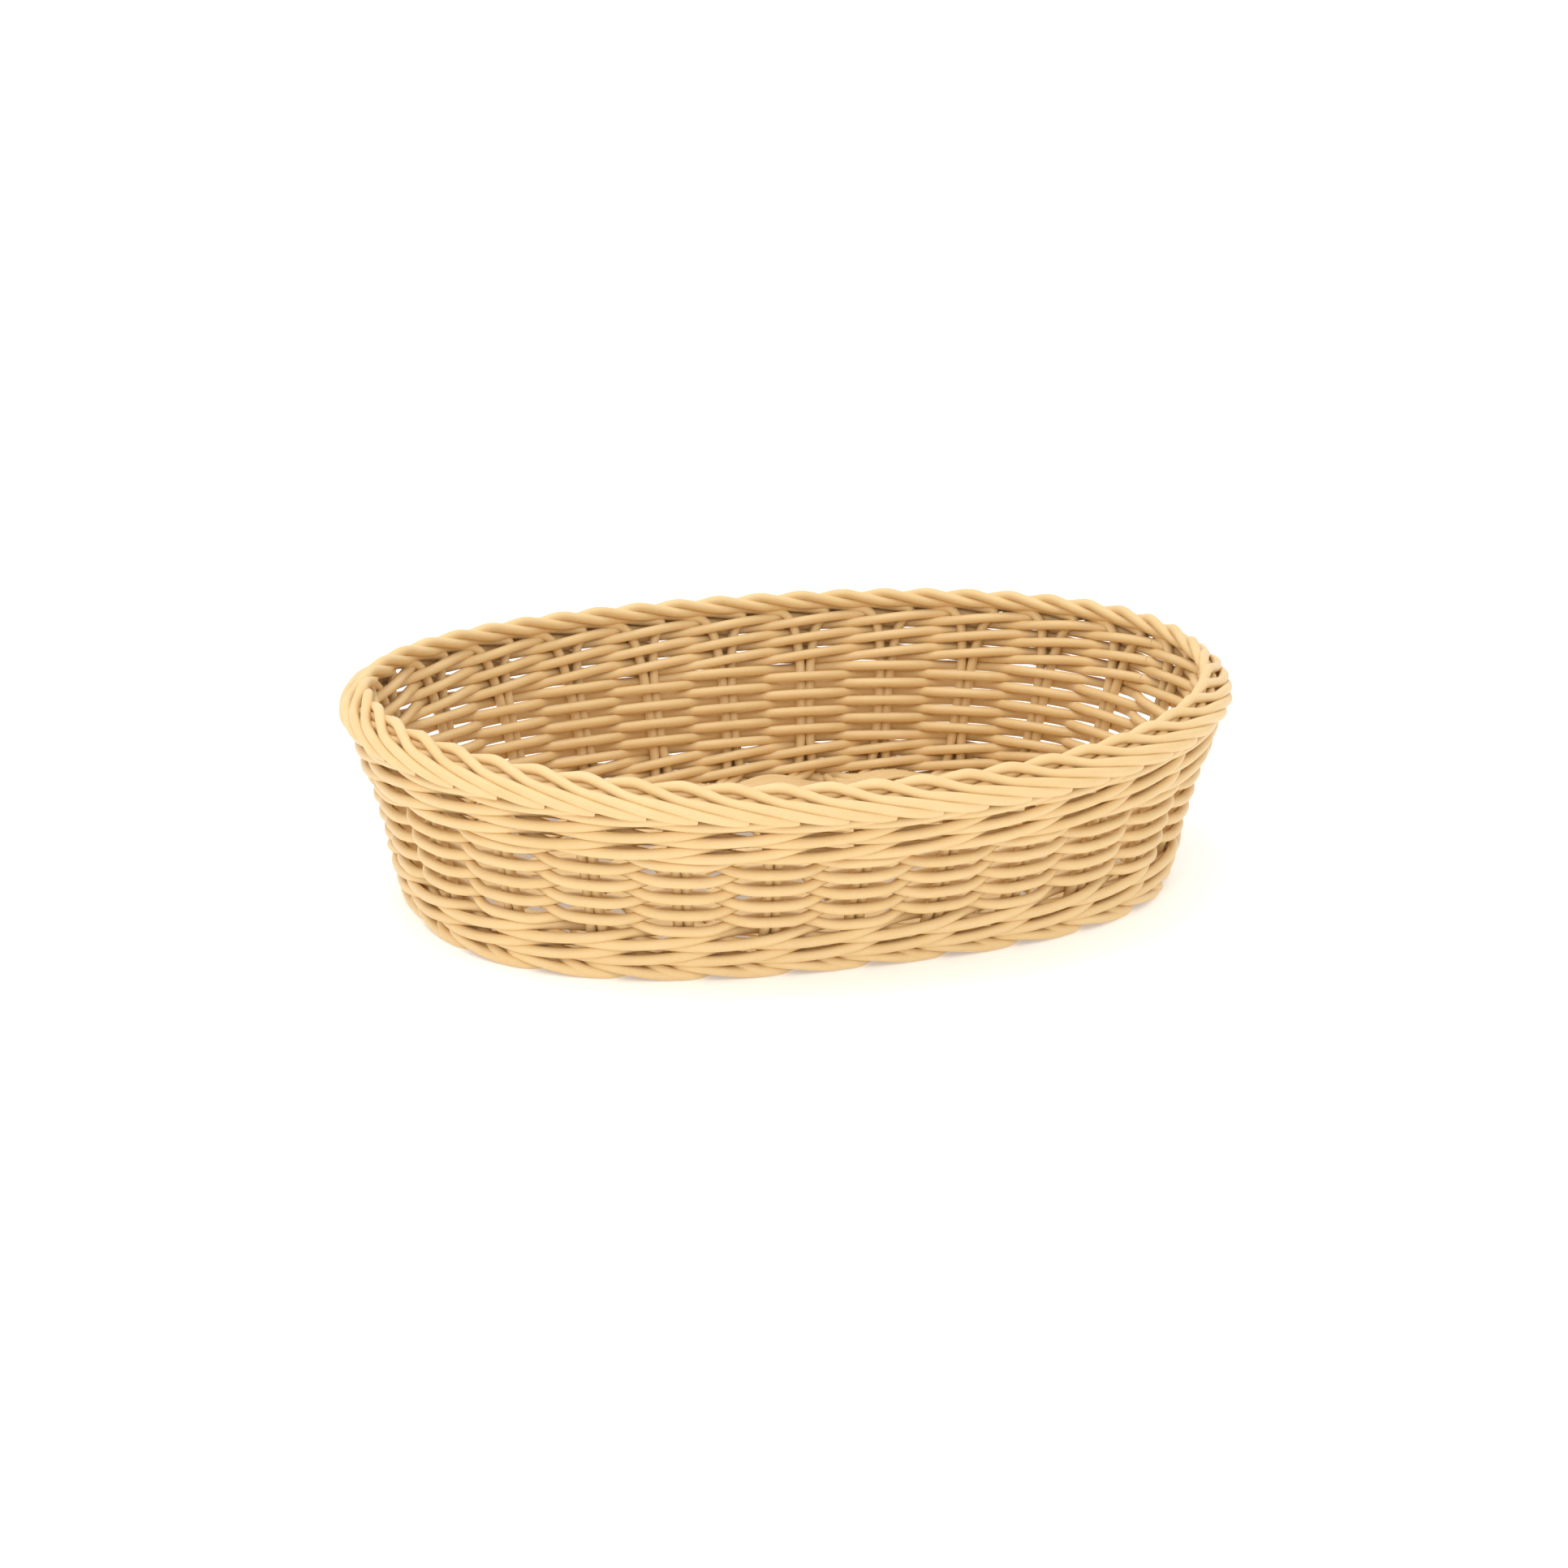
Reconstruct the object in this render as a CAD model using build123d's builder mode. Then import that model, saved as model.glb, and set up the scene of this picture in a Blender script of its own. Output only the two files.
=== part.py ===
"""Oval open basket, hand-woven from round plastic strands. Millimetres, +Z up.

The origin is at the middle of the basket's footprint, on the surface it stands on.
+X runs along the basket's length. Going "round" means counter-clockwise seen from above,
counted in stake spacings, and "outward" is square to the sloping wall.
"""
from build123d import *
import math
import os

# ---- driving dimensions ----
strand = 3.5                # diameter of the wall, border and foot strands
clear = 0.15                # air left between strands that cross
reach = strand + clear      # middle of a strand to the middle of one lying against it

stake_pairs = 26            # stakes stand in pairs round the wall
pair_offset = 0.09          # the first pair stands this many spacings past the +X end

base_length = 294.0         # stake line on the ground, end to end
base_width = 194.0
base_roundness = 2.57       # superellipse exponent: 2 is an ellipse, more is squarer
rim_length = 346.0          # stake line at the rim
rim_width = 252.0
rim_roundness = 2.10
rim_height = 83.0           # mean height of the top of the border
saddle = 7.4                # the ends stand this much higher than the long sides

foot_height = 8.0           # foot border, below the first row of weave
base_wale_pitch = 6.5       # one round of three-strand wale
base_wale_rounds = 2
rim_wale_pitch = 7.1
rim_wale_rounds = 3
rand_pitch = 3.65           # one row of plain over-and-under weave
rand_rows = 9
wale_step = 1.4             # the upper of two outer wale strands stands this much prouder

foot_flat = 0.15            # worn flat where the foot strands meet the ground

floor_length = 284.0        # woven floor, inside the stakes
floor_width = 185.0
floor_height = 6.6          # middle of the cross sticks above the ground
stick_spacing = 26.2
sticks_each_side = 5
band_spacing = 14.0
band_width = 12.6
band_thickness = 1.4
bands_each_side = 6

# ---- heights that follow from them ----
base_wale_start = foot_height
rand_start = base_wale_start + base_wale_rounds * base_wale_pitch + clear
rim_wale_start = rand_start + rand_rows * rand_pitch + clear
border_start = rim_wale_start + rim_wale_rounds * rim_wale_pitch

OUTLINE_STEPS = 1440


def superellipse(length, width, roundness, angle):
    """Point of a superellipse for an angle parameter."""
    power = 2 / roundness
    c = math.cos(angle)
    s = math.sin(angle)
    x = math.copysign(length / 2 * abs(c) ** power, c)
    y = math.copysign(width / 2 * abs(s) ** power, s)
    return x, y


def even_outline(length, width, roundness):
    """Points at even distances round a superellipse, from +X and counter-clockwise."""
    fine = [
        superellipse(length, width, roundness, math.tau * i / (8 * OUTLINE_STEPS))
        for i in range(8 * OUTLINE_STEPS + 1)
    ]
    travelled = [0.0]
    for start, end in zip(fine, fine[1:]):
        travelled.append(travelled[-1] + math.dist(start, end))
    points = []
    at = 0
    for step in range(OUTLINE_STEPS):
        wanted = travelled[-1] * step / OUTLINE_STEPS
        while travelled[at + 1] < wanted:
            at += 1
        share = (wanted - travelled[at]) / (travelled[at + 1] - travelled[at])
        points.append(tuple(a + share * (b - a) for a, b in zip(fine[at], fine[at + 1])))
    return points


base_outline = even_outline(base_length, base_width, base_roundness)
rim_outline = even_outline(rim_length, rim_width, rim_roundness)


def outline_point(outline, spacings):
    """Point of an outline a number of stake spacings round from its first stake pair."""
    place = (spacings + pair_offset) / stake_pairs * OUTLINE_STEPS
    first = math.floor(place)
    share = place - first
    start = outline[first % OUTLINE_STEPS]
    end = outline[(first + 1) % OUTLINE_STEPS]
    return Vector(
        start[0] + share * (end[0] - start[0]),
        start[1] + share * (end[1] - start[1]),
    )


def stake_line(spacings, height):
    """Point on the sloping surface that the stakes stand in."""
    share = height / rim_height
    base = outline_point(base_outline, spacings)
    rim = outline_point(rim_outline, spacings)
    flat = base * (1 - share) + rim * share
    rise = saddle * ((2 * rim.X / rim_length) ** 2 - 0.5)
    return Vector(flat.X, flat.Y, height + rise * share)


def wall_point(spacings, height, outward=0.0):
    """Point near the wall: along it, up it, and out from the stake line."""
    along = stake_line(spacings + 0.1, height) - stake_line(spacings - 0.1, height)
    up = stake_line(spacings, height + 1) - stake_line(spacings, height - 1)
    return stake_line(spacings, height) + along.cross(up).normalized() * outward


def foot_point(spacings, level, outward):
    """Point of the foot border at a true height, level with the ground all round."""
    along = stake_line(spacings + 0.1, level) - stake_line(spacings - 0.1, level)
    square_out = Vector(along.Y, -along.X).normalized()
    line = stake_line(spacings, level)
    return Vector(line.X, line.Y, level) + square_out * outward


pair_length = math.dist(
    tuple(stake_line(0, rim_height / 2)),
    tuple(stake_line(1, rim_height / 2)),
)


def corner_radius(before, corner, after, largest):
    """Radius of the arc that rounds a corner of a strand's route."""
    runs = (before - corner, after - corner)
    turn = math.radians(180 - runs[0].get_angle(runs[1]))
    room = 0.45 * min(run.length for run in runs)
    return min(largest, room / math.tan(max(turn, 0.001) / 2))


def route_wire(points, largest=60.0, closed=False):
    """Straight runs joined by tangent arcs along a strand's route."""
    if closed:
        corners = list(zip(points[-1:] + points[:-1], points, points[1:] + points[:1]))
    else:
        corners = list(zip(points, points[1:], points[2:]))
    radii = [corner_radius(*corner, largest) for corner in corners]
    with BuildLine() as route:
        FilletPolyline(*points, radius=radii, close=closed)
    return route.wire()


def strand_part(points, closed=False, footed=False):
    """One round strand along a route; a footed one is worn flat at the ground."""
    wire = route_wire(points, closed=closed)
    with BuildPart() as piece:
        with BuildSketch(Plane(origin=wire @ 0, z_dir=wire % 0)):
            Circle(strand / 2)
        sweep(path=wire)
        if footed:
            split(bisect_by=Plane.XY, keep=Keep.TOP)
    return piece.part


def rand_row(row):
    """A ring that passes outside one stake pair and inside the next."""
    height = rand_start + (row + 0.5) * rand_pitch
    half_stroke = 0.17
    points = []
    for pair in range(stake_pairs):
        side = reach if (pair + row) % 2 else -reach
        points.append(wall_point(pair - half_stroke, height, side))
        points.append(wall_point(pair + half_stroke, height, side))
    return strand_part(points, closed=True)


def wale_route(lead, height, pitch):
    """Route of one wale strand, once round: outside two stake pairs, then inside one.

    It starts each stroke low, crosses the stroke before it and ends a strand's width higher.
    The three strands' ends meet in the gap after the first stake pair.
    """
    low = height - pitch / 4
    high = height + pitch / 4
    middle = wale_step / 2
    stroke = (
        (-0.17, height + pitch / 12, -reach),
        (0.17, height - pitch / 12, -reach),
        (0.5, low, middle),
        (0.83, low, reach),
        (1.17, low + pitch / 12, reach + wale_step / 4),
        (1.83, high - pitch / 12, reach + wale_step),
        (2.17, high, reach + wale_step),
        (2.5, high, -middle),
    )
    points = []
    for pair in range(lead - 3, stake_pairs + 3, 3):
        for along, level, outward in stroke:
            if 0.5 <= pair + along <= stake_pairs + 0.5:
                points.append(wall_point(pair + along, level, outward))
    points[0] += (points[1] - points[0]).normalized() * clear
    points[-1] += (points[-2] - points[-1]).normalized() * clear
    return points


def wale_round(start, pitch, turn):
    """Three strands that each go once round the basket."""
    height = start + (turn + 0.5) * pitch
    leads = [(lead + turn) % 3 for lead in range(3)]
    return [strand_part(wale_route(lead, height, pitch)) for lead in leads]


def stake(pair, side):
    """One stake: tucked in the foot border, up the wall, rolled over the top border."""
    low_end = side * 0.10
    middle = side * (0.5 * reach) / pair_length
    top = side * 0.25
    ground = strand / 2 - foot_flat
    if side < 0:
        foot = (
            (1.46, ground + 0.9, -4.0),
            (1.28, ground, -0.6),
            (1.08, ground, 3.2),
            (0.84, 3.2, 4.6),
            (0.62, 5.6, 2.4),
            (0.42, 5.4, -1.6),
            (0.14, 5.8, -2.4),
        )
    else:
        foot = (
            (2.38, ground + 0.9, -4.0),
            (2.20, ground, -0.4),
            (1.98, ground, 3.4),
            (1.62, 2.9, 4.8),
            (1.22, 5.0, 4.6),
            (0.94, 5.8, 2.6),
            (0.70, 5.0, -2.0),
            (0.34, 3.6, -4.0),
        )
    wall = (
        (low_end, base_wale_start + 1.5, 0.0),
        (middle, rand_start + rand_pitch, 0.0),
        (middle, rim_wale_start - rand_pitch, 0.0),
        (top * 0.5, rim_wale_start + 2 * rim_wale_pitch, 0.0),
        (top, border_start - 0.5, 0.0),
    )
    border = (
        (0.17, 1.1, 0.4),
        (0.34, 2.1, 0.5),
        (0.52, 2.9, -0.6),
        (0.80, 3.2, -3.3),
        (1.08, 5.2, -4.2),
        (1.32, 7.0, -3.6),
        (1.56, 5.8, -0.7),
        (1.80, 4.7, 2.2),
        (2.06, 4.2, 4.3),
        (2.32, 2.6, 5.7),
        (2.60, 1.1, 7.0),
        (2.88, -0.3, 8.1),
    )
    points = [foot_point(pair + along, level, outward) for along, level, outward in foot]
    points += [wall_point(pair + along, level, outward) for along, level, outward in wall]
    points += [
        wall_point(pair + top + along, border_start + level, outward)
        for along, level, outward in border
    ]
    return strand_part(points, footed=True)


def floor_half(length, width, across):
    """Half the length of the floor at a distance from its middle."""
    share = 1 - (abs(across) / (width / 2)) ** base_roundness
    return length / 2 * share ** (1 / base_roundness)


def floor_stick(x):
    """A straight cross stick under and over the floor bands."""
    half = floor_half(floor_width, floor_length, x) - 1
    with BuildPart() as stick:
        with BuildSketch(Plane(origin=(x, -half, floor_height), z_dir=(0, 1, 0))):
            Circle(strand / 2)
        extrude(amount=2 * half)
    return stick.part


def floor_band(number):
    """A flat band of fine strands that runs over one stick and under the next."""
    across = number * band_spacing
    half = floor_half(floor_length, floor_width, abs(across) + band_width / 2) - 1
    lift = strand / 2 + band_thickness / 2 + clear
    crest = 3.0
    points = []
    for i in range(-sticks_each_side - 1, sticks_each_side + 2):
        level = floor_height + (lift if (i + number) % 2 else -lift)
        for x in (i * stick_spacing - crest, i * stick_spacing + crest):
            if abs(x) < half - 4:
                points.append(Vector(x, across, level))
    points.insert(0, Vector(-half, across, floor_height))
    points.append(Vector(half, across, floor_height))
    wire = route_wire(points, largest=20.0)
    with BuildPart() as band:
        with BuildSketch(Plane(origin=wire @ 0, x_dir=(0, 1, 0), z_dir=wire % 0)):
            Rectangle(band_width, band_thickness)
        sweep(path=wire)
    return band.part


def write(name, solids):
    """Label a sub-part and write its STEP file."""
    part = Compound(label=name, children=list(solids)) if len(solids) > 1 else solids[0]
    part.label = name
    export_step(part, f"parts/{name}.step")


os.makedirs("parts", exist_ok=True)

for row in range(rand_rows):
    write(f"rand_row_{row + 1}", [rand_row(row)])

for turn in range(base_wale_rounds):
    write(f"base_wale_{turn + 1}", wale_round(base_wale_start, base_wale_pitch, turn))

for turn in range(rim_wale_rounds):
    write(f"rim_wale_{turn + 1}", wale_round(rim_wale_start, rim_wale_pitch, turn))

for pair in range(stake_pairs):
    write(f"stake_pair_{pair + 1:02d}", [stake(pair, -1), stake(pair, 1)])

sticks = range(-sticks_each_side, sticks_each_side + 1)
write("floor_sticks", [floor_stick(i * stick_spacing) for i in sticks])

for number in range(-bands_each_side, bands_each_side + 1):
    write(f"floor_band_{number + bands_each_side + 1:02d}", [floor_band(number)])
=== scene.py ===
import logging
import math
import random
from dataclasses import dataclass, field
from enum import Enum

import bmesh
import bpy
from mathutils import Matrix, Vector


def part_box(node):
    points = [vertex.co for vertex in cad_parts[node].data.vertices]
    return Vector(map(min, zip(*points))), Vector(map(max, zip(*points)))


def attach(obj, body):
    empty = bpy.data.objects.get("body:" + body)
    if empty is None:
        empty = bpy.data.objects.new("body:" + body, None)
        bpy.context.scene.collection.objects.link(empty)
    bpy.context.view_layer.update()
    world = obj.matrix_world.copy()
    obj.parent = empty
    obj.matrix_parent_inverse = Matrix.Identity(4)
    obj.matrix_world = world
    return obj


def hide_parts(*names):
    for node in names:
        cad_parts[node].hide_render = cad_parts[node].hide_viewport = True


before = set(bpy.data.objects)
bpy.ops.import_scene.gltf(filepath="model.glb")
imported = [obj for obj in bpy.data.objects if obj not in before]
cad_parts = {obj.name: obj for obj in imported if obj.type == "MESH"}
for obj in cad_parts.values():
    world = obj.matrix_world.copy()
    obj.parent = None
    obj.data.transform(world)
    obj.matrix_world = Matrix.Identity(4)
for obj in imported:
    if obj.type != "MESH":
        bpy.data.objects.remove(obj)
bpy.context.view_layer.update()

MM = 0.001
Key = tuple[float, float, float]
log = logging.getLogger("basket")


# ---------------------------------------------------------------- the wall's surface

@dataclass(frozen=True)
class Outline:
    """A superellipse, walked at an even pace, that the stakes stand on."""

    half_length: float
    half_width: float
    roundness: float
    steps: int = 1440

    def walk(self) -> list[Vector]:
        """Points at even distances round the outline.

        Returns:
            Points from +X, counter-clockwise.
        """
        power = 2 / self.roundness
        fine = []
        count = 8 * self.steps
        for i in range(count + 1):
            c = math.cos(math.tau * i / count)
            s = math.sin(math.tau * i / count)
            x = math.copysign(self.half_length * abs(c) ** power, c)
            y = math.copysign(self.half_width * abs(s) ** power, s)
            fine.append(Vector((x, y, 0)))
        travelled = [0.0]
        for start, end in zip(fine, fine[1:]):
            travelled.append(travelled[-1] + (end - start).length)
        points = []
        at = 0
        for step in range(self.steps):
            wanted = travelled[-1] * step / self.steps
            while travelled[at + 1] < wanted:
                at += 1
            share = (wanted - travelled[at]) / (travelled[at + 1] - travelled[at])
            points.append(fine[at].lerp(fine[at + 1], share))
        return points


@dataclass
class Wall:
    """The sloping surface that the stakes stand in.

    A place near it is (spacings, height, outward): stake spacings counter-clockwise from the
    first pair, mean height above the ground, and distance out from the surface.
    """

    stake_pairs: int = 26
    pair_offset: float = 0.09
    base_roundness: float = 2.57
    rim_roundness: float = 2.10
    reach: float = 3.65 * MM
    crest_share: float = 0.95
    cad_strand: float = 3.5 * MM
    foot_height: float = 8.0 * MM
    base_wale_pitch: float = 6.5 * MM
    rim_wale_pitch: float = 7.1 * MM
    rand_pitch: float = 3.65 * MM
    rand_rows: int = 9
    base_rounds: int = 2
    rim_rounds: int = 3
    clear: float = 0.15 * MM
    rim_height: float = 83.0 * MM
    saddle: float = 7.4 * MM
    base: list[Vector] = field(default_factory=list)
    rim: list[Vector] = field(default_factory=list)

    def __post_init__(self) -> None:
        """Fit the outlines to the boxes of the lowest and highest plain rows."""
        self.rand_start = self.foot_height + self.base_rounds * self.base_wale_pitch + self.clear
        self.rim_wale_start = self.rand_start + self.rand_rows * self.rand_pitch + self.clear
        self.border_start = self.rim_wale_start + self.rim_rounds * self.rim_wale_pitch
        low = self._row_half_sizes("rand_row_1")
        high = self._row_half_sizes(f"rand_row_{self.rand_rows}")
        low_height = self.rand_start + 0.5 * self.rand_pitch
        high_height = self.rand_start + (self.rand_rows - 0.5) * self.rand_pitch
        ends = []
        for height in (0.0, self.rim_height):
            share = (height - low_height) / (high_height - low_height)
            ends.append([a + share * (b - a) for a, b in zip(low, high)])
        self.base = Outline(*ends[0], self.base_roundness).walk()
        self.rim = Outline(*ends[1], self.rim_roundness).walk()
        self.rim_half_length = ends[1][0]
        self.spacing = (self.line(1, self.rim_height / 2) - self.line(0, self.rim_height / 2)).length

    def _row_half_sizes(self, node: str) -> tuple[float, float]:
        """Half sizes of the stake line inside a plain row.

        Args:
            node: The row's CAD node.

        Returns:
            Half the length and half the width, from the row's box.
        """
        low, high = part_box(node)
        outside = self.crest_share * self.reach + self.cad_strand / 2
        return max(high.x, -low.x) - outside, max(high.y, -low.y) - outside

    def _outline_point(self, outline: list[Vector], spacings: float) -> Vector:
        """Point of an outline.

        Args:
            outline: The outline's points.
            spacings: Stake spacings from its first pair.

        Returns:
            The point, level with the outline.
        """
        place = (spacings + self.pair_offset) / self.stake_pairs * len(outline)
        first = math.floor(place)
        start = outline[first % len(outline)]
        return start.lerp(outline[(first + 1) % len(outline)], place - first)

    def line(self, spacings: float, height: float) -> Vector:
        """Point on the wall's surface.

        Args:
            spacings: Stake spacings from the first pair.
            height: Mean height above the ground.

        Returns:
            The point, with the ends raised by the saddle.
        """
        share = height / self.rim_height
        rim = self._outline_point(self.rim, spacings)
        flat = self._outline_point(self.base, spacings).lerp(rim, share)
        rise = self.saddle * ((rim.x / self.rim_half_length) ** 2 - 0.5)
        return Vector((flat.x, flat.y, height + rise * share))

    def point(self, place: Key) -> Vector:
        """Point near the wall, its last figure measured square to the slope.

        Args:
            place: Spacings, mean height and distance out.

        Returns:
            The point.
        """
        spacings, height, outward = place
        along = self.line(spacings + 0.1, height) - self.line(spacings - 0.1, height)
        up = self.line(spacings, height + MM) - self.line(spacings, height - MM)
        return self.line(spacings, height) + along.cross(up).normalized() * outward

    def ground_point(self, place: Key) -> Vector:
        """Point near the foot of the wall, at a true height, pushed out level.

        Args:
            place: Spacings, true height and level distance out.

        Returns:
            The point.
        """
        spacings, height, outward = place
        along = self.line(spacings + 0.1, height) - self.line(spacings - 0.1, height)
        square = Vector((along.y, -along.x, 0)).normalized()
        line = self.line(spacings, height)
        return Vector((line.x, line.y, height)) + square * outward


# ---------------------------------------------------------------- strands

def through(keys: list[Key], steps: int) -> list[Key]:
    """A smooth run of places that passes through every key.

    Args:
        keys: Places along a strand's route.
        steps: Places for each stretch between two keys.

    Returns:
        The keys with places between them on Catmull-Rom curves.
    """
    places = []
    padded = [keys[0], *keys, keys[-1]]
    for quad in zip(padded, padded[1:], padded[2:], padded[3:]):
        for step in range(steps):
            t = step / steps
            places.append(tuple(
                0.5 * (2 * b + (c - a) * t + (2 * a - 5 * b + 4 * c - d) * t * t
                       + (3 * b - a - 3 * c + d) * t ** 3)
                for a, b, c, d in zip(*quad)
            ))
    return [*places, keys[-1]]


@dataclass(frozen=True)
class StrandStock:
    """Round plastic strand as it comes off the reel."""

    thickness: float
    corner_steps: int = 5
    ring_steps: int = 2
    end_bevel: float = 0.35 * MM

    @property
    def sides(self) -> int:
        """Faces round the strand."""
        return 4 + 2 * self.corner_steps

    def lay(self, name: str, points: list[Vector], tint: float, closed: bool = False) -> bpy.types.Mesh:
        """Sweep one strand along its points.

        Args:
            name: Name of the mesh.
            points: Control points of the strand's middle line.
            tint: How far this strand's colour leaves the mean, from -1 to 1.
            closed: Whether the strand is a ring.

        Returns:
            A closed mesh with "along" in metres and "tint" on its points.
        """
        curve = bpy.data.curves.new(name, "CURVE")
        curve.dimensions = "3D"
        curve.bevel_depth = self.thickness / 2
        curve.bevel_resolution = self.corner_steps
        curve.use_fill_caps = not closed
        curve.twist_mode = "MINIMUM"
        spline = curve.splines.new("NURBS")
        spline.points.add(len(points) - 1)
        for knot, point in zip(spline.points, points):
            knot.co = (*point, 1)
        spline.use_cyclic_u = closed
        spline.use_endpoint_u = not closed
        spline.order_u = 4
        spline.resolution_u = self.ring_steps
        carrier = bpy.data.objects.new(name, curve)
        mesh = bpy.data.meshes.new_from_object(carrier)
        bpy.data.objects.remove(carrier)
        bpy.data.curves.remove(curve)
        along = mesh.attributes.new("along", "FLOAT", "POINT")
        shade = mesh.attributes.new("tint", "FLOAT", "POINT")
        rings = len(mesh.vertices) // self.sides
        travelled = 0.0
        last = None
        for ring in range(rings):
            first = ring * self.sides
            middle = (mesh.vertices[first].co + mesh.vertices[first + self.sides // 2].co) / 2
            if last is not None:
                travelled += (middle - last).length
            last = middle
            for vertex in range(first, first + self.sides):
                along.data[vertex].value = travelled
                shade.data[vertex].value = tint
        return mesh


class Bundle:
    """Strands gathered into one piece."""

    def __init__(self, name: str, stock: StrandStock) -> None:
        """Start an empty bundle.

        Args:
            name: Name of the finished piece.
            stock: The strand it is made of.
        """
        self.name = name
        self.stock = stock
        self.body = bmesh.new()

    def add(self, points: list[Vector], tint: float, closed: bool = False) -> None:
        """Lay one more strand.

        Args:
            points: Control points of its middle line.
            tint: How far its colour leaves the mean, from -1 to 1.
            closed: Whether it is a ring.
        """
        mesh = self.stock.lay(self.name, points, tint, closed)
        self.body.from_mesh(mesh)
        bpy.data.meshes.remove(mesh)

    def finish(self, material: bpy.types.Material, slot: str, *nodes: str) -> bpy.types.Object:
        """Round the strands' cut ends and put the piece in the frame.

        Args:
            material: The piece's finish.
            slot: The record's material slot. Not used.
            *nodes: CAD nodes that the piece stands for.

        Returns:
            The finished piece.
        """
        caps = [face for face in self.body.faces if len(face.verts) == self.stock.sides]
        rims = list({edge for face in caps for edge in face.edges})
        if rims:
            bmesh.ops.bevel(
                self.body, geom=rims, offset=self.stock.end_bevel, offset_type="OFFSET",
                affect="EDGES", segments=2, profile=0.5, material=-1,
            )
        for face in self.body.faces:
            face.smooth = True
        bmesh.ops.recalc_face_normals(self.body, faces=self.body.faces)
        mesh = bpy.data.meshes.new(self.name)
        self.body.to_mesh(mesh)
        self.body.free()
        mesh.materials.append(material)
        piece = bpy.data.objects.new(self.name, mesh)
        bpy.context.collection.objects.link(piece)
        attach(piece, "root")
        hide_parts(*nodes)
        log.info("%s: %d faces", self.name, len(mesh.polygons))
        return piece


# ---------------------------------------------------------------- finishes

class Maths:
    """A shader socket that adds Math nodes when it is used in an expression."""

    def __init__(self, tree: bpy.types.NodeTree, socket: bpy.types.NodeSocket) -> None:
        """Wrap a socket of a node tree.

        Args:
            tree: The node tree.
            socket: An output socket in it.
        """
        self.tree = tree
        self.socket = socket

    def _node(self, operation: str, first: object, second: object = None) -> "Maths":
        """Add one Math node for two operands.

        Args:
            operation: The node's operation.
            first: Its first operand, a wrapped socket or a number.
            second: Its second operand.

        Returns:
            The node's output, wrapped.
        """
        node = self.tree.nodes.new("ShaderNodeMath")
        node.operation = operation
        for index, value in enumerate((first, second)):
            if isinstance(value, Maths):
                self.tree.links.new(value.socket, node.inputs[index])
            elif value is not None:
                node.inputs[index].default_value = value
        return Maths(self.tree, node.outputs[0])

    def __add__(self, other: object) -> "Maths":
        """Sum."""
        return self._node("ADD", self, other)

    __radd__ = __add__

    def __sub__(self, other: object) -> "Maths":
        """Difference."""
        return self._node("SUBTRACT", self, other)

    def __rsub__(self, other: object) -> "Maths":
        """Difference, the other way round."""
        return self._node("SUBTRACT", other, self)

    def __mul__(self, other: object) -> "Maths":
        """Product."""
        return self._node("MULTIPLY", self, other)

    __rmul__ = __mul__


class Shader:
    """A material under construction."""

    def __init__(self, name: str) -> None:
        """Start a material with a Principled shader.

        Args:
            name: The material's name.
        """
        self.material = bpy.data.materials.new(name)
        self.material.use_nodes = True
        self.tree = self.material.node_tree
        self.surface = self.tree.nodes["Principled BSDF"]

    def node(self, kind: str, settings: dict | None = None, **sockets: object) -> bpy.types.Node:
        """Add a node.

        Args:
            kind: The node's type.
            settings: Its own properties, set first.
            **sockets: Values or links of its inputs, spaces written as underscores.

        Returns:
            The new node.
        """
        made = self.tree.nodes.new(kind)
        for name, value in (settings or {}).items():
            setattr(made, name, value)
        for name, value in sockets.items():
            self.feed(made.inputs[name.replace("_", " ")], value)
        return made

    def feed(self, socket: bpy.types.NodeSocket, value: object) -> None:
        """Set a socket, or link it.

        Args:
            socket: The input socket.
            value: A number or colour, or a socket to link from.
        """
        if isinstance(value, Maths):
            value = value.socket
        if isinstance(value, bpy.types.NodeSocket):
            self.tree.links.new(value, socket)
        else:
            socket.default_value = value

    def value(self, socket: bpy.types.NodeSocket) -> Maths:
        """Wrap a socket for use in an expression.

        Args:
            socket: An output socket.

        Returns:
            The wrapped socket.
        """
        return Maths(self.tree, socket)


@dataclass(frozen=True)
class WickerFinish:
    """Satin plastic strand, coloured through, with faint streaks and mottle."""

    name: str
    colour: tuple[float, float, float]
    deep: tuple[float, float, float]
    roughness: float = 0.42
    tint_share: float = 0.10

    def make(self) -> bpy.types.Material:
        """Build the material.

        Returns:
            The finished material.
        """
        shader = Shader(self.name)
        place = shader.node("ShaderNodeTexCoord").outputs["Object"]
        tint = shader.value(
            shader.node("ShaderNodeAttribute", {"attribute_name": "tint"}).outputs["Fac"])
        cloud = shader.value(shader.node(
            "ShaderNodeTexNoise", Vector=place, Scale=90.0, Detail=3.0, Roughness=0.6).outputs["Fac"])
        grain = shader.value(shader.node(
            "ShaderNodeTexNoise", Vector=place, Scale=900.0, Detail=2.0, Roughness=0.5).outputs["Fac"])
        share = 0.5 + (cloud - 0.5) * 0.55 + (grain - 0.5) * 0.18 + tint * self.tint_share
        colour = shader.node("ShaderNodeMix", {"data_type": "RGBA", "clamp_factor": True})
        shader.feed(colour.inputs[0], share)
        shader.feed(colour.inputs[6], (*self.deep, 1))
        shader.feed(colour.inputs[7], (*self.colour, 1))
        shader.feed(shader.surface.inputs["Base Color"], colour.outputs[2])
        shader.feed(shader.surface.inputs["Roughness"], self.roughness + (grain - 0.5) * 0.16)
        bump = shader.node("ShaderNodeBump", Strength=0.25, Distance=0.00015, Height=grain)
        shader.feed(shader.surface.inputs["Normal"], bump.outputs["Normal"])
        shader.surface.inputs["Specular IOR Level"].default_value = 0.35
        return shader.material


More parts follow.
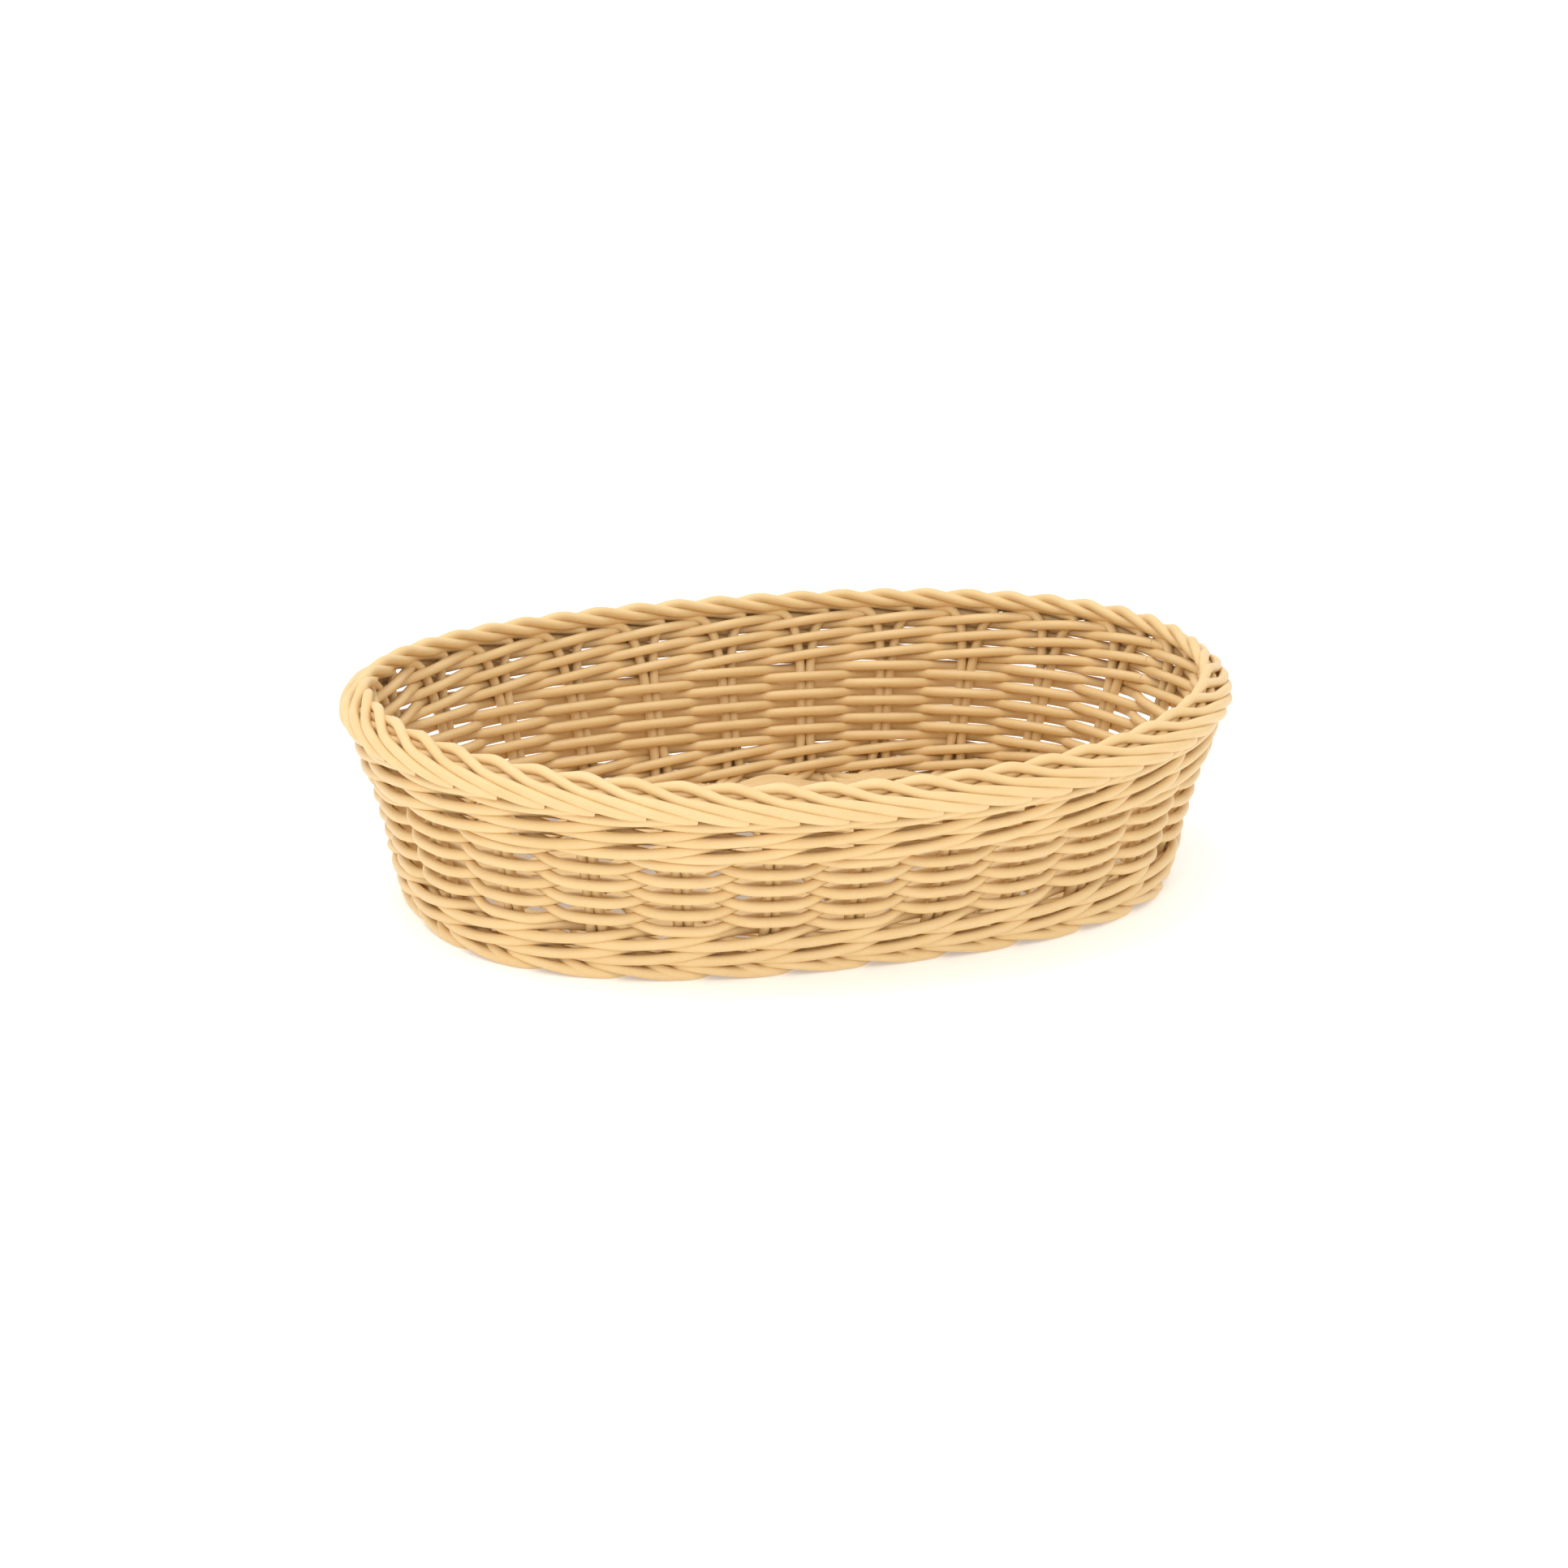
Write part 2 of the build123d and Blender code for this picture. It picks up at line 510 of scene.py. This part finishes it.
# ---------------------------------------------------------------- sub-assemblies

@dataclass
class PlainWeave:
    """Rows that pass outside one stake pair and inside the next."""

    wall: Wall
    finish: bpy.types.Material
    stock: StrandStock
    points_each_spacing: int = 8
    swing: float = 4.0 * MM
    flatness: float = 0.15

    def build(self, dice: random.Random) -> None:
        """Weave every row.

        Args:
            dice: Source of each strand's tint.
        """
        for row in range(self.wall.rand_rows):
            self._row(row, dice)

    def _row(self, row: int, dice: random.Random) -> None:
        """Weave one row.

        Args:
            row: The row's number, from 0 at the bottom.
            dice: Source of the strand's tint.
        """
        height = self.wall.rand_start + (row + 0.5) * self.wall.rand_pitch
        count = self.points_each_spacing * self.wall.stake_pairs
        points = []
        for step in range(count):
            spacings = step / self.points_each_spacing
            turn = math.pi * (spacings + row)
            swing = -self.swing * (
                (1 + self.flatness) * math.cos(turn) - self.flatness * math.cos(3 * turn)
            )
            points.append(self.wall.point((spacings, height, swing)))
        bundle = Bundle(f"plain_row_{row + 1}", self.stock)
        bundle.add(points, dice.uniform(-1, 1), closed=True)
        bundle.finish(self.finish, "weaver_strand", f"rand_row_{row + 1}")


@dataclass
class Wale:
    """A band of three-strand wale: each strand outside two stake pairs, then inside one."""

    wall: Wall
    finish: bpy.types.Material
    stock: StrandStock
    name: str
    start: float
    pitch: float
    rounds: int
    reach: float = 3.95 * MM
    proud: float = 1.3 * MM
    steps_each_key: int = 3

    def build(self, dice: random.Random) -> None:
        """Weave every round.

        Args:
            dice: Source of each strand's tint.
        """
        for turn in range(self.rounds):
            bundle = Bundle(f"{self.name}_round_{turn + 1}", self.stock)
            middle = self.start + (turn + 0.5) * self.pitch
            for lead in range(3):
                keys = self._keys((lead + turn) % 3, middle)
                points = [self.wall.point(place) for place in through(keys, self.steps_each_key)]
                bundle.add(points, dice.uniform(-1, 1))
            bundle.finish(self.finish, "weaver_strand", f"{self.name}_{turn + 1}")

    def _keys(self, lead: int, middle: float) -> list[Key]:
        """Keys of one strand, once round.

        Args:
            lead: Which stake pair it first passes inside.
            middle: Mean height of the round.

        Returns:
            Places from the gap after the first pair to the same gap again.
        """
        pitch, reach, proud = self.pitch, self.reach, self.proud
        stroke = (
            (0.0, 0.0, -reach),
            (0.5, -pitch / 4, 0.2 * reach),
            (1.0, -pitch / 4, reach),
            (1.5, -pitch / 12, reach + 0.9 * proud),
            (2.0, pitch / 4, reach + 0.8 * proud),
            (2.5, pitch / 4, -0.2 * reach),
        )
        keys = []
        for pair in range(lead - 3, self.wall.stake_pairs + 3, 3):
            for along, level, outward in stroke:
                if 0.5 <= pair + along <= self.wall.stake_pairs + 0.5:
                    keys.append((pair + along, middle + level, outward))
        return keys


class Side(Enum):
    """Which stake of a pair."""

    FIRST = -1
    SECOND = 1


@dataclass
class Stakes:
    """Stake pairs: tucked in the foot border, up the wall, rolled over the rim."""

    wall: Wall
    finish: bpy.types.Material
    stock: StrandStock
    low_spread: float = 0.10
    middle_gap: float = 1.95 * MM
    top_spread: float = 0.25
    steps_each_key: int = 4

    def build(self, dice: random.Random) -> None:
        """Set every pair.

        Args:
            dice: Source of each stake's tint.
        """
        for pair in range(self.wall.stake_pairs):
            bundle = Bundle(f"stakes_{pair + 1:02d}", self.stock)
            for side in Side:
                bundle.add(self._route(pair, side), dice.uniform(-1, 1))
            bundle.finish(self.finish, "stake_strand", f"stake_pair_{pair + 1:02d}")

    def _route(self, pair: int, side: Side) -> list[Vector]:
        """Middle line of one stake.

        Args:
            pair: The pair's number, from 0.
            side: Which stake of the pair.

        Returns:
            Points from the tucked foot end to the cut rim end.
        """
        low = side.value * self.low_spread
        middle = side.value * self.middle_gap / self.wall.spacing
        top = side.value * self.top_spread
        ground = self.stock.thickness / 2 / MM
        if side is Side.FIRST:
            foot = (
                (1.46, ground + 0.9, -4.0),
                (1.28, ground, -0.6),
                (1.08, ground, 3.2),
                (0.84, 3.2, 4.6),
                (0.62, 5.6, 2.4),
                (0.42, 5.4, -1.6),
                (0.14, 5.8, -2.4),
            )
        else:
            foot = (
                (2.38, ground + 0.9, -4.0),
                (2.20, ground, -0.4),
                (1.98, ground, 3.4),
                (1.62, 2.9, 4.8),
                (1.22, 5.0, 4.6),
                (0.94, 5.8, 2.6),
                (0.70, 4.6, -2.0),
                (0.34, 3.6, -3.2),
            )
        wall = (
            (low, self.wall.foot_height + 1.5 * MM, 0.0),
            (middle, self.wall.rand_start + self.wall.rand_pitch, 0.0),
            (middle, self.wall.rim_wale_start - self.wall.rand_pitch, 0.0),
            (top * 0.5, self.wall.rim_wale_start + 2 * self.wall.rim_wale_pitch, 0.0),
            (top, self.wall.border_start - 0.5 * MM, 0.0),
        )
        border = (
            (0.17, 1.1, 0.4),
            (0.34, 2.1, 0.5),
            (0.52, 2.9, -0.6),
            (0.80, 3.2, -3.3),
            (1.08, 5.2, -4.2),
            (1.32, 7.0, -3.6),
            (1.56, 5.6, -0.7),
            (1.78, 4.2, 2.3),
            (2.04, 3.9, 4.5),
            (2.32, 2.4, 6.0),
            (2.60, 0.8, 7.0),
            (2.80, -0.3, 6.8),
            (2.94, -0.9, 5.6),
        )
        keys = [(pair + along, level * MM, outward * MM) for along, level, outward in foot]
        points = [self.wall.ground_point(place) for place in through(keys, self.steps_each_key)]
        keys = [(pair + along, height, outward) for along, height, outward in wall]
        keys += [
            (pair + top + along, self.wall.border_start + level * MM, outward * MM)
            for along, level, outward in border
        ]
        points += [self.wall.point(place) for place in through(keys, self.steps_each_key)]
        return points


@dataclass
class Floor:
    """Cross sticks with bands of fine strands woven over and under them."""

    stick_finish: bpy.types.Material
    band_finish: bpy.types.Material
    stick_stock: StrandStock
    fine_stock: StrandStock
    sticks_each_side: int = 5
    bands_each_side: int = 6
    strands_each_band: int = 9
    edge_strands: int = 3
    pitch_share: float = 1.1
    cad_stick: float = 3.5 * MM
    end_gap: float = 1.0 * MM
    tuck: float = 5.0 * MM
    roundness: float = 2.57

    def build(self, dice: random.Random) -> None:
        """Weave the floor.

        Args:
            dice: Source of each strand's tint.
        """
        low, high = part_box("floor_sticks")
        self.level = (low.z + high.z) / 2
        self.stick_spacing = (high.x - low.x - self.cad_stick) / (2 * self.sticks_each_side)
        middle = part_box(f"floor_band_{self.bands_each_side + 1:02d}")
        self.half_length = middle[1].x + self.tuck
        self.half_width = high.y + self.tuck
        self._sticks(dice)
        for number in range(-self.bands_each_side, self.bands_each_side + 1):
            self._band(number, dice)

    def _half(self, length: float, width: float, across: float) -> float:
        """Half the floor's length at a distance from its middle.

        Args:
            length: Half its length at the middle.
            width: Half its width.
            across: The distance.

        Returns:
            Half the length there, or 0 past the edge.
        """
        share = max(0.0, 1 - (abs(across) / width) ** self.roundness)
        return length * share ** (1 / self.roundness)

    def _sticks(self, dice: random.Random) -> None:
        """Lay the cross sticks.

        Args:
            dice: Source of each stick's tint.
        """
        bundle = Bundle("floor_cross_sticks", self.stick_stock)
        for number in range(-self.sticks_each_side, self.sticks_each_side + 1):
            x = number * self.stick_spacing
            half = self._half(self.half_width, self.half_length, x) - self.end_gap
            points = [Vector((x, half * i / 4, self.level)) for i in range(-4, 5)]
            bundle.add(points, dice.uniform(-1, 1))
        bundle.finish(self.stick_finish, "floor_stick", "floor_sticks")

    def _band(self, number: int, dice: random.Random) -> None:
        """Weave one band of fine strands.

        Args:
            number: The band's number, 0 in the middle.
            dice: Source of each strand's tint.
        """
        node = f"floor_band_{number + self.bands_each_side + 1:02d}"
        low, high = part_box(node)
        pitch = (high.y - low.y) / self.strands_each_band * self.pitch_share
        lift = (high.z - low.z) / 2 - self.fine_stock.thickness / 2
        bundle = Bundle(f"floor_weave_{number + self.bands_each_side + 1:02d}", self.fine_stock)
        first = -self.edge_strands if number == -self.bands_each_side else 0
        last = self.edge_strands if number == self.bands_each_side else 0
        for strand in range(first, self.strands_each_band + last):
            y = (low.y + high.y) / 2 + (strand - (self.strands_each_band - 1) / 2) * pitch
            half = self._half(self.half_length, self.half_width, abs(y)) - self.end_gap
            if half < self.stick_spacing / 2:
                continue
            count = max(8, round(half / self.stick_spacing * 8))
            points = []
            for step in range(-count, count + 1):
                x = half * step / count
                wave = math.cos(math.pi * (x / self.stick_spacing + number + 1))
                points.append(Vector((x, y, self.level + lift * wave)))
            bundle.add(points, dice.uniform(-1, 1))
        bundle.finish(self.band_finish, "floor_strand", node)


# ---------------------------------------------------------------- studio

@dataclass(frozen=True)
class Studio:
    """Pale table, soft light and the camera."""

    back: float = 1589.14 * MM
    azimuth: float = math.radians(-20.975)
    elevation: float = math.radians(18.748)
    roll: float = math.radians(1.314)
    aside: float = -1.531 * MM
    above: float = 36.945 * MM
    focal_share: float = 3.080
    image_side: float = 1932.0
    sensor: float = 36.0

    def build(self) -> None:
        """Set the table, the lights and the camera."""
        self._table()
        self._lights()
        self._camera()

    def _table(self) -> None:
        """A wide white table top, just under the basket."""
        mesh = bpy.data.meshes.new("table_top")
        body = bmesh.new()
        bmesh.ops.create_grid(body, x_segments=1, y_segments=1, size=12.0)
        body.to_mesh(mesh)
        body.free()
        table = bpy.data.objects.new("table_top", mesh)
        bpy.context.collection.objects.link(table)
        shader = Shader("white_table")
        shader.surface.inputs["Base Color"].default_value = (0.93, 0.93, 0.93, 1)
        shader.surface.inputs["Roughness"].default_value = 0.6
        shader.surface.inputs["Emission Color"].default_value = (1, 1, 1, 1)
        shader.surface.inputs["Emission Strength"].default_value = 0.25
        mesh.materials.append(shader.material)

    def _lights(self) -> None:
        """An even white room and two large soft lights."""
        world = bpy.data.worlds.new("white_room")
        world.use_nodes = True
        world.node_tree.nodes["Background"].inputs["Color"].default_value = (1, 1, 1, 1)
        world.node_tree.nodes["Background"].inputs["Strength"].default_value = 1.0
        bpy.context.scene.world = world
        self._panel("overhead", Vector((-0.4, 0.1, 1.5)), 1.0, 7.0)
        self._panel("front", Vector((-0.9, -1.6, 1.6)), 1.0, 9.0)
        bpy.context.scene.view_settings.view_transform = "Standard"

    def _panel(self, name: str, place: Vector, size: float, power: float) -> None:
        """A square soft light that faces the basket.

        Args:
            name: Name of the light.
            place: Where it hangs.
            size: Its side, in metres.
            power: Its power, in watts.
        """
        light = bpy.data.lights.new(name, "AREA")
        light.size = size
        light.energy = power
        lamp = bpy.data.objects.new(name, light)
        lamp.location = place
        lamp.rotation_euler = (-place).to_track_quat("-Z", "Y").to_euler()
        bpy.context.collection.objects.link(lamp)

    def _camera(self) -> None:
        """The camera, at the viewing angle that the basket is shown from."""
        ca, sa = math.cos(self.azimuth), math.sin(self.azimuth)
        ce, se = math.cos(self.elevation), math.sin(self.elevation)
        back = Vector((sa * ce, -ca * ce, se))
        right = Vector((ca, sa, 0))
        up = back.cross(right)
        cr, sr = math.cos(self.roll), math.sin(self.roll)
        turned_right = right * cr + up * sr
        turned_up = up * cr - right * sr
        data = bpy.data.cameras.new("camera")
        data.sensor_width = self.sensor
        data.lens = self.focal_share * self.back / MM / self.image_side * self.sensor
        camera = bpy.data.objects.new("camera", data)
        place = back * self.back + turned_right * self.aside + turned_up * self.above
        turn = Matrix((turned_right, turned_up, back)).transposed().to_4x4()
        camera.matrix_world = Matrix.Translation(place) @ turn
        bpy.context.collection.objects.link(camera)
        bpy.context.scene.camera = camera


def main() -> None:
    """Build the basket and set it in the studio."""
    logging.basicConfig(level=logging.INFO)
    dice = random.Random(26)
    Studio().build()
    wall = Wall()
    weave = WickerFinish("weaver_plastic", (0.83, 0.61, 0.32), (0.68, 0.45, 0.19)).make()
    stake = WickerFinish("stake_plastic", (0.84, 0.62, 0.33), (0.70, 0.47, 0.20)).make()
    stick = WickerFinish("stick_plastic", (0.72, 0.50, 0.25), (0.60, 0.40, 0.17)).make()
    fine = WickerFinish("fine_plastic", (0.84, 0.62, 0.33), (0.70, 0.47, 0.20)).make()
    strand = StrandStock(4.05 * MM)
    PlainWeave(wall, weave, strand).build(dice)
    Wale(
        wall, weave, strand, "base_wale",
        start=wall.foot_height, pitch=wall.base_wale_pitch, rounds=wall.base_rounds,
    ).build(dice)
    Wale(
        wall, weave, strand, "rim_wale",
        start=wall.rim_wale_start, pitch=wall.rim_wale_pitch, rounds=wall.rim_rounds,
    ).build(dice)
    Stakes(wall, stake, strand).build(dice)
    Floor(stick, fine, StrandStock(3.6 * MM), StrandStock(1.5 * MM, corner_steps=2)).build(dice)


if __name__ == "__main__":
    main()
